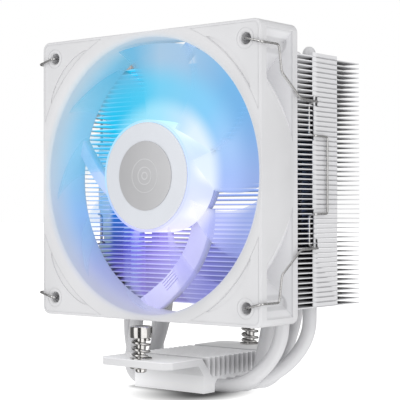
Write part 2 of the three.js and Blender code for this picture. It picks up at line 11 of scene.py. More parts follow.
import bmesh
import bpy
from mathutils import Euler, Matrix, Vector


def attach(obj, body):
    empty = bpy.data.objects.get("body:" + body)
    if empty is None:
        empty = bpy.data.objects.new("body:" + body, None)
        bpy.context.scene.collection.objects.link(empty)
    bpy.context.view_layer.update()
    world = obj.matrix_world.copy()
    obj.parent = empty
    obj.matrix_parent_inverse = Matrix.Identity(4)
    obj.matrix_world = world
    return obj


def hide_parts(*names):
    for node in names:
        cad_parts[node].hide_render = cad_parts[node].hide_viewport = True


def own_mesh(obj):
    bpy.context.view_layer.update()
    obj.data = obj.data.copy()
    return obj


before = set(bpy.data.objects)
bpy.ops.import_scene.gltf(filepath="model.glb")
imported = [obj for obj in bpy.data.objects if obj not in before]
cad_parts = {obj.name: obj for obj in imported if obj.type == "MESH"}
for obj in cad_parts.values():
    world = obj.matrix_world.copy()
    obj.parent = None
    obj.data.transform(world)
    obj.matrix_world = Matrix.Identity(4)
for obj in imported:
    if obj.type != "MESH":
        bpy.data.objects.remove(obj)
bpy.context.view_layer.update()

MM = 0.001

# Fan, as in the CAD: the front plane, the axis and the bottom edge.
FAN_Y = -35.5
FAN_Z = 90.3
FAN_BOTTOM = 30.3
FAN_HALF = 60.0
FAN_DEPTH = 25.0
FLANGE = 3.7
HOLE_OFFSET = 52.5
DUCT_RADIUS = 57.6
BAND_RADIUS = 63.7
BLADE_COUNT = 9
BLADE_ROOT = 22.6
BLADE_TIP = 56.4
SPAN_STEPS = 26
CHORD_STEPS = 18
LED_ANGLES = [6 + 45 * i for i in range(8)]

FIN_COUNT = 52
FIN_HALF_X = 60.0
FIN_PITCH = 2.0
FIN_THICKNESS = 0.4
FIN_FRONT_Y = -10.5
FIN_BACK_Y = 35.5
STACK_BOTTOM = 36.3

# The folded flanges: depths behind the fan's front, and heights. Their front strips reach the
# next fin, and the rest leaves a fine gap below it.
FLANGE_FRONT = 35.7
FLANGE_CORNER = 38.0
FLANGE_REAR = 53.7
FLANGE_HEIGHT = 1.85
# Where a clip's wire runs upright against the flanges, and where it turns in.
CATCH_NOTCH = (35.0, 36.5)
HOOK_NOTCH = (37.4, 39.1)
NOTCH_X = 57.3

PIPE_RADIUS = 3.0
PIPE_LOW_Z = 2.2
PIPE_TOP = 145.3
LEG_OUTER_X = 46.5
LEG_INNER_X = 33.0
LEG_FIRST_Y = -2.5
LEG_STEP_Y = 10.0
GROOVE_STEP_Y = 6.3
BASE_HALF_X = 19.2
SCREW_Y = 37.5


# ---------------------------------------------------------------- shells

def loft(rings):
    """A closed shell through rings of equal length; one face closes each end."""
    count = len(rings[0])
    points = [point for ring in rings for point in ring]
    faces = []
    for k in range(len(rings) - 1):
        low, high = k * count, (k + 1) * count
        for i in range(count):
            j = (i + 1) % count
            faces.append([low + i, low + j, high + j, high + i])
    faces.append(list(range(count))[::-1])
    faces.append([(len(rings) - 1) * count + i for i in range(count)])
    return points, faces


def lathe(profile, place, segments=96):
    """A closed turned shell. The profile closes on itself, or starts and ends on the axis."""
    points, rows = [], []
    for radius, height in profile:
        start = len(points)
        if radius < 1e-9:
            points.append(place(0, height, 0))
            rows.append([start] * segments)
        else:
            points += [place(radius, height, 2 * pi * i / segments) for i in range(segments)]
            rows.append(list(range(start, start + segments)))
    pairs = list(zip(rows, rows[1:]))
    if profile[0][0] > 1e-9:
        pairs.append((rows[-1], rows[0]))
    faces = []
    for low, high in pairs:
        for i in range(segments):
            j = (i + 1) % segments
            face = list(dict.fromkeys([low[i], low[j], high[j], high[i]]))
            if len(face) > 2:
                faces.append(face)
    return points, faces


def in_fan(x=0.0, z=0.0):
    """Places (radius, depth, angle) about an axis through the fan, x and z off its centre."""
    return lambda r, d, a: (x + r * cos(a), FAN_Y + d, FAN_Z + z + r * sin(a))


def upright(x=0.0, y=0.0):
    return lambda r, h, a: (x + r * cos(a), y + r * sin(a), h)


def fan_ring(outline, depth):
    return [(x, FAN_Y + depth, FAN_Z + z) for x, z in outline]


def fan_slab(outline, front, rear):
    return loft([fan_ring(outline, front), fan_ring(outline, rear)])


def box(low, high):
    corners = [(low[0], low[1]), (high[0], low[1]), (high[0], high[1]), (low[0], high[1])]
    return loft([[(x, y, z) for x, y in corners] for z in (low[2], high[2])])


def sweep(path, radius, sides=12):
    """A tube along a line of points. The radius may differ from point to point."""
    path = [Vector(point) for point in path]
    radii = radius if isinstance(radius, list) else [radius] * len(path)
    side = None
    rings = []
    for i, point in enumerate(path):
        along = (path[min(i + 1, len(path) - 1)] - path[max(i - 1, 0)]).normalized()
        if side is None:
            side = along.orthogonal()
        side = (side - along * side.dot(along)).normalized()
        up = along.cross(side)
        rings.append([
            point + radii[i] * (cos(2 * pi * k / sides) * side + sin(2 * pi * k / sides) * up)
            for k in range(sides)
        ])
    return loft(rings)


def rounded_route(corners, bend, steps=7):
    """Rounds each inner corner of a route with a quadratic bend that starts `bend` before it."""
    corners = [Vector(corner) for corner in corners]
    points = [corners[0]]
    for before, here, after in zip(corners, corners[1:], corners[2:]):
        reach = min(bend, (before - here).length * 0.45, (after - here).length * 0.45)
        start = here + (before - here).normalized() * reach
        end = here + (after - here).normalized() * reach
        for k in range(steps + 1):
            t = k / steps
            points.append(start * (1 - t) ** 2 + here * 2 * t * (1 - t) + end * t * t)
    points.append(corners[-1])
    return points


def rounded_rectangle(half_x, half_z, radius, steps=10):
    points = []
    for corner, (sx, sz) in enumerate([(1, 1), (-1, 1), (-1, -1), (1, -1)]):
        for k in range(steps + 1):
            a = corner * pi / 2 + k / steps * pi / 2
            points.append((
                sx * (half_x - radius) + radius * cos(a), sz * (half_z - radius) + radius * sin(a),
            ))
    return points


def solid_object(name, shells):
    """One Blender object from closed shells given in millimetres, with faces pointing out."""
    points, faces = [], []
    for shell_points, shell_faces in shells:
        base = len(points)
        points += [tuple(c * MM for c in point) for point in shell_points]
        faces += [[base + i for i in face] for face in shell_faces]
    mesh = bpy.data.meshes.new(name)
    mesh.from_pydata(points, [], faces)
    work = bmesh.new()
    work.from_mesh(mesh)
    bmesh.ops.recalc_face_normals(work, faces=work.faces)
    work.to_mesh(mesh)
    work.free()
    obj = bpy.data.objects.new(name, mesh)
    bpy.context.scene.collection.objects.link(obj)
    return obj


def bake_modifiers(obj):
    graph = bpy.context.evaluated_depsgraph_get()
    obj.data = bpy.data.meshes.new_from_object(obj.evaluated_get(graph))
    obj.modifiers.clear()


def boolean(obj, other, operation="DIFFERENCE"):
    """Cuts another object from this one, or joins it, and removes the other."""
    change = obj.modifiers.new("change", "BOOLEAN")
    change.operation = operation
    change.object = other
    change.solver = "MANIFOLD"
    bake_modifiers(obj)
    bpy.data.objects.remove(other)


def combine(obj, shells, operation="DIFFERENCE"):
    """Cuts closed shells from an object one by one, or joins them to it."""
    for shell in shells:
        boolean(obj, solid_object("cutter", [shell]), operation)
    return obj


def bevelled(obj, width, angle=32, segments=2):
    """Merges flat triangles and rounds the edges that are sharper than the angle."""
    work = bmesh.new()
    work.from_mesh(obj.data)
    bmesh.ops.remove_doubles(work, verts=work.verts, dist=1e-6)
    bmesh.ops.dissolve_limit(
        work, angle_limit=radians(1.0), verts=work.verts, edges=work.edges,
    )
    work.to_mesh(obj.data)
    work.free()
    change = obj.modifiers.new("edges", "BEVEL")
    change.width = width * MM
    change.segments = segments
    change.limit_method = "ANGLE"
    change.angle_limit = radians(angle)
    bake_modifiers(obj)
    return obj


def piece(obj, look, body="cooler", replaces=(), sharp=38):
    """Finishes a piece: smooth shading with sharp edges, its material, body and CAD nodes."""
    obj.data.shade_smooth()
    obj.data.set_sharp_from_angle(angle=radians(sharp))
    obj.data.materials.clear()
    obj.data.materials.append(look)
    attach(obj, body)
    if replaces:
        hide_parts(*replaces)
    return obj


# ---------------------------------------------------------------- materials

BLACK = (0.0, 0.0, 0.0, 1.0)

# The view through the duct runs obliquely: SLANT metres in x for each metre of depth. Colours
# behind the fan are laid out where such lines cross the fan's back, and those of the blades
# where they cross the blades' middle.
SLANT = 0.8
FAN_BACK = 0.0252
BLADE_MIDDLE = 0.010


def srgb(red, green, blue):
    """Linear colour of an 8-bit screen colour."""
    def linear(value):
        value /= 255
        return value / 12.92 if value <= 0.04045 else ((value + 0.055) / 1.055) ** 2.4
    return (linear(red), linear(green), linear(blue), 1.0)


def shaded(colour, share):
    return tuple(c * share for c in colour[:3]) + (1.0,)


# Colours by angle about the fan's axis, from -180 degrees at the left through the bottom:
# the haze that the lit blades give, at the hub, in the middle and towards the tips,
HAZE_HUB = [
    (-180, (150, 215, 250)), (-120, (180, 179, 255)), (-75, (205, 200, 255)),
    (-60, (216, 216, 255)), (-45, (240, 241, 255)), (-30, (250, 251, 255)), (0, (232, 245, 255)),
    (45, (226, 244, 255)), (60, (198, 232, 255)), (90, (168, 231, 255)), (120, (150, 228, 252)),
    (180, (150, 215, 250)),
]
HAZE_MIDDLE = [
    (-180, (60, 190, 240)), (-150, (70, 150, 232)), (-120, (130, 140, 240)), (-90, (158, 152, 250)),
    (-60, (186, 188, 253)), (-30, (182, 192, 253)), (0, (168, 196, 252)), (15, (168, 204, 252)),
    (45, (138, 208, 251)), (75, (132, 210, 246)), (90, (122, 210, 246)), (105, (86, 204, 244)),
    (135, (40, 194, 238)), (180, (60, 190, 240)),
]
HAZE_TIPS = [
    (-180, (129, 198, 236)), (-90, (186, 189, 234)), (-60, (145, 148, 222)), (-30, (156, 170, 232)),
    (0, (152, 178, 232)), (30, (122, 182, 234)), (45, (124, 186, 234)), (60, (148, 193, 231)),
    (75, (167, 201, 232)), (90, (170, 202, 229)), (105, (118, 188, 226)), (120, (104, 187, 225)),
    (150, (134, 202, 232)), (180, (129, 198, 236)),
]
# the hub's own wall,
HUB_WALL = [
    (-180, (190, 225, 250)), (-120, (206, 206, 255)), (-75, (224, 220, 255)),
    (-45, (224, 228, 255)), (-15, (212, 220, 255)), (15, (206, 222, 255)), (45, (214, 236, 255)),
    (70, (188, 228, 255)), (110, (170, 230, 255)), (180, (190, 225, 250)),
]
# the rotor's light painted on the duct's wall at its rear edge,
PAINTED_WALL_LIGHT = [
    (-180, (156, 198, 218)), (-155, (158, 188, 216)), (-135, (176, 184, 214)),
    (-115, (186, 188, 206)), (-90, (188, 188, 200)), (-45, (182, 188, 206)), (0, (168, 188, 208)),
    (60, (172, 192, 206)), (95, (172, 192, 204)), (115, (134, 188, 206)), (135, (146, 194, 212)),
    (165, (156, 198, 216)), (180, (156, 198, 218)),
]
# and the rotor's light painted in the spaces between the fins behind the fan.
PAINTED_GAP_LIGHT = [
    (-180, (0, 168, 240)), (-165, (16, 136, 230)), (-150, (66, 116, 222)), (-138, (114, 114, 238)),
    (-118, (176, 164, 255)), (-97, (192, 186, 255)), (-69, (140, 142, 226)), (-30, (150, 164, 232)),
    (20, (130, 180, 234)), (70, (124, 198, 240)), (110, (60, 198, 240)), (155, (10, 200, 242)),
    (180, (0, 168, 240)),
]
# How strongly the turning blades veil what is behind them, by the same angle.
VEIL = [
    (-180, 0.2), (-150, 0.16), (-115, 0.1), (-80, 0.2), (-55, 0.42), (-30, 0.62), (-12, 0.84),
    (0, 0.94), (50, 0.96), (92, 0.94), (108, 0.84), (125, 0.56), (140, 0.3), (160, 0.22),
    (180, 0.2),
]


Place = namedtuple("Place", "x depth z radius turn")


class Nodes:
    """A node tree, with short calls for the nodes used here."""

    def __init__(self, tree):
        self.tree = tree

    def feed(self, socket, value):
        """Links an output to an input socket, or sets the socket to a plain value."""
        if isinstance(value, bpy.types.NodeSocket):
            self.tree.links.new(value, socket)
        else:
            socket.default_value = value

    def node(self, kind, inputs=(), **settings):
        made = self.tree.nodes.new(kind)
        for key, value in settings.items():
            setattr(made, key, value)
        for key, value in dict(inputs).items():
            self.feed(made.inputs[key], value)
        return made

    def math(self, operation, first, second=0.0):
        return self.node("ShaderNodeMath", {0: first, 1: second}, operation=operation).outputs[0]

    def times(self, first, *others):
        for other in others:
            first = self.math("MULTIPLY", first, other)
        return first

    def size(self, value):
        return self.math("ABSOLUTE", value)

    def step(self, value, low, high, start=0.0, end=1.0):
        """Eases from start to end as the value goes from low to high."""
        made = self.node(
            "ShaderNodeMapRange", {0: value, 1: low, 2: high, 3: start, 4: end},
            interpolation_type="SMOOTHSTEP",
        )
        return made.outputs[0]

    def mix(self, factor, first, second):
        made = self.node("ShaderNodeMix", {0: factor, 6: first, 7: second}, data_type="RGBA")
        return made.outputs[2]

    def parts(self, vector):
        return self.node("ShaderNodeSeparateXYZ", {0: vector}).outputs

    def geometry(self, name):
        return self.node("ShaderNodeNewGeometry").outputs[name]

    def turn(self, across, along):
        """The angle of a direction in a plane: 0 at -180 degrees, 1 at 180."""
        angle = self.math("ARCTAN2", along, across)
        return self.node("ShaderNodeMapRange", {0: angle, 1: -pi, 2: pi, 3: 0.0, 4: 1.0}).outputs[0]

    def ramp(self, turn, stops):
        """Colours by angle, from (degrees, linear colour) stops."""
        made = self.node("ShaderNodeValToRGB", {0: turn})
        elements = made.color_ramp.elements
        while len(elements) > 1:
            elements.remove(elements[-1])
        for i, (degree, colour) in enumerate(stops):
            place = (degree + 180) / 360
            element = elements[0] if i == 0 else elements.new(place)
            element.position = place
            element.color = colour
        return made.outputs[0]

    def around(self, turn, colours):
        return self.ramp(turn, [(degree, srgb(*colour)) for degree, colour in colours])

    def levels(self, turn, values):
        return self.ramp(turn, [(degree, (value, value, value, 1.0)) for degree, value in values])


class Graph(Nodes):
    """A material made round one shader."""

    def __init__(self, name):
        self.material = bpy.data.materials.new(name)
        self.material.use_nodes = True
        super().__init__(self.material.node_tree)
        self.shader = self.tree.nodes["Principled BSDF"]

    def set(self, **inputs):
        for key, value in inputs.items():
            self.feed(self.shader.inputs[key.replace("_", " ")], value)

    def base(self):
        """What feeds the base colour so far."""
        return self.shader.inputs["Base Color"].links[0].from_socket

    def place(self, slant=0.0, level=0.0):
        """x, depth behind the fan's front, z about the axis, radius, and angle as 0 to 1.

        With a slant, x is carried along an oblique line to the plane at the level's depth.
        """
        parts = self.parts(self.geometry("Position"))
        depth = self.math("SUBTRACT", parts[1], FAN_Y * MM)
        z = self.math("SUBTRACT", parts[2], FAN_Z * MM)
        x = self.math("ADD", parts[0], self.times(self.math("SUBTRACT", depth, level), slant))
        squares = self.math("ADD", self.times(x, x), self.times(z, z))
        return Place(x, depth, z, self.math("SQRT", squares), self.turn(x, z))

    def haze(self, radius, turn):
        """The colour that the turning blades give, from the hub's wall to their tips."""
        inner = self.mix(self.step(radius, 0.0265, 0.0350), self.around(turn, HAZE_HUB),
                         self.around(turn, HAZE_MIDDLE))
        return self.mix(self.step(radius, 0.0370, 0.0510), inner, self.around(turn, HAZE_TIPS))

    def grain(self, scale, detail=2.0):
        coordinates = self.node("ShaderNodeTexCoord").outputs["Object"]
        return self.node(
            "ShaderNodeTexNoise", {"Vector": coordinates, "Scale": scale, "Detail": detail},
        ).outputs[0]

    def bump(self, height, depth_mm, strength=0.5):
        made = self.node(
            "ShaderNodeBump", {"Height": height, "Strength": strength, "Distance": depth_mm * MM},
        )
        self.set(Normal=made.outputs[0])


def coated(name, colour, roughness, grain_scale, grain_depth, metallic=0.0):
    """A plain surface with slight mottling of tone and gloss and a fine surface grain."""
    graph = Graph(name)
    tone = graph.grain(45.0, 3.0)
    graph.set(Base_Color=graph.mix(graph.step(tone, 0.35, 0.65), shaded(colour, 0.965), colour))
    graph.set(Roughness=graph.step(tone, 0.3, 0.7, roughness * 0.92, roughness * 1.08))
    graph.set(Metallic=metallic)
    graph.bump(graph.grain(grain_scale), grain_depth)
    return graph


WHITE = srgb(212, 212, 214)


def frame_plastic():
    """Satin moulded plastic, with the rotor's light painted on the duct's inner wall."""
    graph = coated("frame_plastic", WHITE, 0.46, 1600.0, 0.006)
    here = graph.place()
    # Painted light: the rotor's colour on the duct's wall, as base colour and glow, stronger deeper
    # in.
    lit = graph.times(graph.step(here.radius, 0.0598, 0.0580),
                      graph.step(here.depth, 0.0004, 0.0190, 0.16, 1.0))
    wall = graph.around(here.turn, PAINTED_WALL_LIGHT)
    # Painted light brightens the side pockets between the flanges, but not the posts round the
    # corner holes.
    side, height = graph.size(here.x), graph.size(here.z)
    offsets = [graph.math("SUBTRACT", value, HOLE_OFFSET * MM) for value in (side, height)]
    from_hole = graph.math("ADD", *(graph.times(offset, offset) for offset in offsets))
    pocket = graph.times(
        graph.step(side, 0.0597, 0.0588), graph.step(height, 0.0590, 0.0580),
        graph.step(here.radius, 0.0600, 0.0610), graph.step(here.depth, 0.0020, 0.0035),
        graph.step(from_hole, 0.0042 ** 2, 0.0050 ** 2),
    )
    graph.set(Base_Color=graph.mix(lit, graph.base(), wall))
    graph.set(Emission_Color=graph.mix(lit, srgb(240, 240, 243), wall))
    painted_glow = graph.math("ADD", graph.times(lit, 0.35), graph.times(pocket, 0.14))
    graph.set(Emission_Strength=painted_glow)
    return graph.material


def strut_plastic():
    """The same plastic, close behind the light: struts and motor plate, with the rotor's light
    painted on them, strongest at the front.
    """
    graph = coated("strut_plastic", WHITE, 0.46, 1600.0, 0.006)
    here = graph.place()
    painted_glow = graph.mix(0.5, graph.around(here.turn, PAINTED_GAP_LIGHT), srgb(222, 222, 255))
    lit = graph.step(here.depth, 0.0252, 0.0200)
    graph.set(Base_Color=graph.mix(graph.times(lit, 0.5), graph.base(), painted_glow))
    graph.set(Emission_Color=graph.mix(0.3, painted_glow, srgb(226, 222, 255)))
    graph.set(Emission_Strength=graph.times(lit, 0.22))
    return graph.material


def light_spots(graph, reach):
    """1 at each of the light board's lamps, easing to 0 over the given distance."""
    position = graph.geometry("Position")
    total = 0.0
    for angle in LED_ANGLES:
        centre = Vector(in_fan()(22.4, 14.2, radians(angle))) * MM
        offset = graph.node("ShaderNodeVectorMath", {0: position, 1: centre}, operation="SUBTRACT")
        scaled = graph.node(
            "ShaderNodeVectorMath", {0: offset.outputs[0], 1: (1.0, 0.55, 1.0)},
            operation="MULTIPLY",
        )
        length = graph.node("ShaderNodeVectorMath", {0: scaled.outputs[0]}, operation="LENGTH")
        total = graph.math("ADD", graph.step(length.outputs["Value"], reach * MM, 0.0), total)
    return total


def hub_plastic():
    """Translucent hub wall, bright all over with a white spot over each lamp."""
    graph = Graph("hub_plastic")
    here = graph.place()
    spots = graph.math("MINIMUM", light_spots(graph, 7.5), 1.0)
    pale = graph.mix(spots, graph.around(here.turn, HUB_WALL), srgb(255, 255, 255))
    rim = graph.mix(0.42, graph.around(here.turn, HAZE_MIDDLE), srgb(236, 240, 255))
    graph.set(Base_Color=graph.mix(0.85, pale, BLACK), Roughness=0.32)
    graph.set(Emission_Color=graph.mix(graph.step(here.depth, 0.0011, 0.0024), rim, pale))
    graph.set(Emission_Strength=graph.step(graph.grain(60.0), 0.3, 0.7, 0.94, 1.0))
    graph.bump(graph.grain(900.0), 0.01, 0.3)
    return graph.material


def blade_plastic():
    """Frosted blades, lit from the hub, that fade out towards their thin edges."""
    graph = Graph("blade_plastic")
    seen = graph.place(SLANT, BLADE_MIDDLE)
    graph.set(Base_Color=BLACK, Roughness=0.5, Specular_IOR_Level=0.1)
    graph.set(Emission_Color=graph.haze(seen.radius, seen.turn), Emission_Strength=1.0)
    graph.bump(graph.grain(700.0), 0.01, 0.3)
    veil = graph.math("MAXIMUM", graph.levels(seen.turn, VEIL),
                      graph.step(seen.radius, 0.036, 0.026, 0.0, 0.45))
    edge = graph.node("ShaderNodeAttribute", attribute_name="from_edge").outputs["Fac"]
    graph.set(Alpha=graph.times(veil, graph.step(edge, 0.0, 0.3, 0.45, 1.0)))
    return graph.material


def fin_coat():
    """White coated fins, with painted shade in the depth of the stack and the rotor's light painted
    on them behind the fan.
    """
    graph = coated("fin_coat", WHITE, 0.42, 2200.0, 0.004)
    here = graph.place()
    seen = graph.place(SLANT, FAN_BACK)
    x, depth, z = here.x, here.depth, here.z
    side = graph.size(x)
    # Painted shade: the fins darken deep in the stack, away from its sides, its back and the fan.
    painted_deep_shade = graph.times(graph.step(side, 0.0598, 0.0480), graph.step(depth, 0.0709, 0.0675),
                       graph.step(depth, 0.0252, 0.034))
    dark = graph.mix(graph.times(painted_deep_shade, 0.85), graph.base(), shaded(WHITE, 0.3))
    # The rotor's light is painted on plates where the duct opens an oblique view of them, and on
    # the left flanges' faces that look inwards. Above eye level only undersides get it, below it
    # only tops.
    plates = graph.times(
        graph.step(seen.radius, 0.0600, 0.0565), graph.step(side, 0.0596, 0.0560),
        graph.step(depth, 0.070, 0.030, 0.6, 1.0), graph.step(x, -0.0596, -0.0530),
    )
    normal = graph.parts(graph.geometry("True Normal"))
    flanges = graph.times(
        graph.step(graph.times(normal[0], x), -0.02, -0.05),
        graph.step(here.radius, 0.080, 0.066), graph.step(x, 0.02, -0.02, 0.0, 0.85),
    )
    tops = graph.times(graph.step(normal[2], 0.2, 0.6), graph.step(z, -0.0165, -0.0135))
    undersides = graph.times(graph.step(normal[2], -0.2, -0.6), graph.step(z, -0.0150, -0.0180))
    lit = graph.times(
        graph.math("MAXIMUM", plates, flanges), graph.step(depth, 0.0709, 0.0610),
        graph.math("SUBTRACT", 1.0, graph.math("ADD", tops, undersides)),
    )
    # In the painted light, front edges are paler than the spaces, but less so where the blades veil
    # them, and so are the left flanges near the fan.
    painted_gap_colour = graph.around(seen.turn, PAINTED_GAP_LIGHT)
    unveiled = graph.math("SUBTRACT", 0.5, graph.times(graph.levels(seen.turn, VEIL), 0.5))
    edges = graph.mix(unveiled, painted_gap_colour, srgb(232, 240, 255))
    light = graph.mix(graph.step(depth, 0.0251, 0.0262), edges, painted_gap_colour)
    near = graph.times(graph.step(x, -0.0585, -0.0593), graph.step(depth, 0.0460, 0.0420))
    light = graph.mix(near, light, srgb(176, 208, 232))
    low = graph.times(graph.step(seen.radius, 0.030, 0.054), graph.step(z, -0.012, -0.030))
    strength = graph.math("SUBTRACT", 0.84, graph.times(low, 0.34))
    dim = graph.mix(0.65, light, BLACK)
    graph.set(Base_Color=graph.mix(graph.times(lit, 0.92), dark, dim))
    # Painted daylight: a little pale glow between the fan's frame and the flanges, brighter higher
    # up.
    painted_daylight = graph.times(
        graph.step(side, 0.0380, 0.0520), graph.step(depth, 0.0400, 0.0370),
        graph.step(z, 0.005, 0.050, 0.05, 0.12),
    )
    tint = graph.mix(graph.step(lit, 0.0, 0.2), srgb(234, 234, 236), light)
    graph.set(Emission_Color=tint)
    graph.set(Emission_Strength=graph.math("MAXIMUM", graph.times(lit, strength), painted_daylight))
    return graph.material


def base_coat():
    """White coated base, with painted light near the pale floor and on top, and painted shade
    between its ribs.
    """
    graph = coated("base_coat", WHITE, 0.4, 1900.0, 0.008)
    x, y, z = graph.parts(graph.geometry("Position"))
    side, reach = graph.size(x), graph.size(y)
    # Painted shade darkens the base colour between the ribs.
    groove = graph.times(
        graph.step(side, 0.0190, 0.0160), graph.step(reach, 0.0192, 0.0188),
        graph.step(z, 0.0142, 0.0132), graph.step(z, 0.0050, 0.0062),
    )
    graph.set(Base_Color=graph.mix(groove, graph.base(), shaded(WHITE, 0.35)))
    # Painted light: a glow low down for the floor's bounce, and another on top.
    low = graph.step(z, 0.0118, 0.0, 0.03, 0.42)
    top = graph.times(graph.step(z, 0.0143, 0.0147, 0.0, 0.22),
                      graph.step(reach, 0.0215, 0.0190, 1.0, 1.5))
    painted_glow = graph.times(graph.math("ADD", low, top), graph.step(groove, 1.0, 0.0))
    graph.set(Emission_Color=srgb(250, 250, 251), Emission_Strength=painted_glow)
    return graph.material


def pipe_coat():
    """White coated pipes. The rotor's light is painted on their front sides behind the fan."""
    graph = coated("pipe_coat", WHITE, 0.4, 1900.0, 0.008)
    seen = graph.place(SLANT, FAN_BACK)
    normal = graph.parts(graph.geometry("Normal"))
    lit = graph.times(
        graph.step(normal[1], 0.3, -0.8), graph.step(seen.radius, 0.0600, 0.0565),
        graph.step(seen.z, -0.052, -0.046), graph.step(seen.z, 0.0486, 0.0476),
    )
    painted_glow = graph.around(seen.turn, HAZE_TIPS)
    dim = graph.mix(0.6, painted_glow, BLACK)
    graph.set(Base_Color=graph.mix(graph.times(lit, 0.9), graph.base(), dim))
    graph.set(Emission_Color=painted_glow, Emission_Strength=graph.times(lit, 0.7))
    return graph.material


def metal(name, colour, roughness, brushing=0.0):
    """Bright metal with fine drawing lines or a light tumbled grain."""
    graph = Graph(name)
    tone = graph.grain(300.0, 3.0)
    tones = graph.mix(graph.step(tone, 0.3, 0.7), shaded(colour, 0.86), colour)
    graph.set(Base_Color=tones, Metallic=1.0)
    graph.set(Roughness=graph.step(tone, 0.25, 0.75, roughness * 0.8, roughness * 1.2))
    graph.bump(graph.grain(2500.0 + brushing), 0.003, 0.35)
    return graph.material


LOOKS = {
    "frame": frame_plastic(),
    "struts": strut_plastic(),
    "hub": hub_plastic(),
    "blades": blade_plastic(),
    "fins": fin_coat(),
    "cap": coated("cap_plastic", srgb(212, 215, 221), 0.34, 1400.0, 0.002).material,
    "badge": coated("badge_film", srgb(190, 190, 192), 0.4, 3000.0, 0.003, 0.25).material,
    "badge_line": coated("badge_line", srgb(208, 208, 210), 0.35, 3000.0, 0.002, 0.2).material,
    "base": base_coat(),
    "pipes": pipe_coat(),
    "coat": coated("white_coat", WHITE, 0.4, 1900.0, 0.008).material,
    "steel": metal("plated_steel", srgb(206, 204, 202), 0.12),
    "spring": metal("spring_steel", srgb(196, 194, 192), 0.2, 800.0),
    "wire": metal("wire_steel", srgb(206, 205, 204), 0.26, 400.0),
    "laminate": metal("laminated_steel", srgb(120, 122, 126), 0.42),
    "magnet": coated("bonded_magnet", srgb(58, 58, 62), 0.6, 1200.0, 0.02).material,
    "brass": metal("sintered_brass", srgb(190, 160, 96), 0.4),
    "copper": metal("enamelled_copper", srgb(190, 108, 66), 0.3),
    "board": coated("board_mask", srgb(226, 228, 226), 0.36, 900.0, 0.004).material,
}


# ---------------------------------------------------------------- fan frame

def ring_prism(loop, width, front, rear):
    """A closed band of the given width along a closed loop of (x, z) points."""
    count = len(loop)
    outer, inner = [], []
    for i, (x, z) in enumerate(loop):
        before, after = Vector(loop[i - 1]), Vector(loop[(i + 1) % count])
        here = Vector((x, z))
        first, second = (here - before).normalized(), (after - here).normalized()
        normal = Vector((first.y + second.y, -first.x - second.x)).normalized()
        reach = width / 2 / max(normal.dot(Vector((first.y, -first.x))), 0.35)
        outer.append(tuple(here + normal * reach))
        inner.append(tuple(here - normal * reach))
    points = []
    for outline, depth in [(outer, front), (outer, rear), (inner, rear), (inner, front)]:
        points += fan_ring(outline, depth)
    faces = []
    for k in range(4):
        for i in range(count):
            j = (i + 1) % count
            low, high = k * count, ((k + 1) % 4) * count
            faces.append([low + i, low + j, high + j, high + i])
    return points, faces


def turned(outline, quarter):
    """An (x, z) outline turned by quarter turns about the fan's axis."""
    for _ in range(quarter):
        outline = [(-z, x) for x, z in outline]
    return outline


def seam_loop():
    """The fine seam round one corner panel: two straight sides and the band's edge."""
    line, bend, radius = 58.7, 2.3, BAND_RADIUS
    meet = sqrt(radius * radius - line * line)
    points = [(line, meet + 12 * k) for k in range(3)]
    centre = line - bend
    points += [(centre + bend * cos(a), centre + bend * sin(a))
               for a in [k * pi / 16 for k in range(9)]]
    points += [(meet + 24 - 12 * k, line) for k in range(3)]
    start, end = atan2(line, meet), atan2(meet, line)
    points += [(radius * cos(a), radius * sin(a))
               for a in [start + (end - start) * k / 28 for k in range(1, 28)]]
    return points


def crescent():
    """The shallow recess that follows the band inside each corner panel."""
    start, end = radians(31), radians(59)
    steps = 26
    inner = [(63.95, start + (end - start) * k / steps) for k in range(steps + 1)]
    outer = [(63.95 + 2.7 * sin(pi * k / steps) ** 0.6, start + (end - start) * k / steps)
             for k in range(steps - 1, 0, -1)]
    return [(r * cos(a), r * sin(a)) for r, a in inner + outer]


def pocket_shells():
    """The four side pockets between the frame's flanges, before the duct is put back."""
    upper = [(62, 59), (55.5, 52.5), (55.5, 49.8), (38, 32.3)]
    lower = [(x, -z) for x, z in upper][::-1]
    return [fan_slab(turned(lower + upper, q), FLANGE, FAN_DEPTH - FLANGE) for q in range(4)]


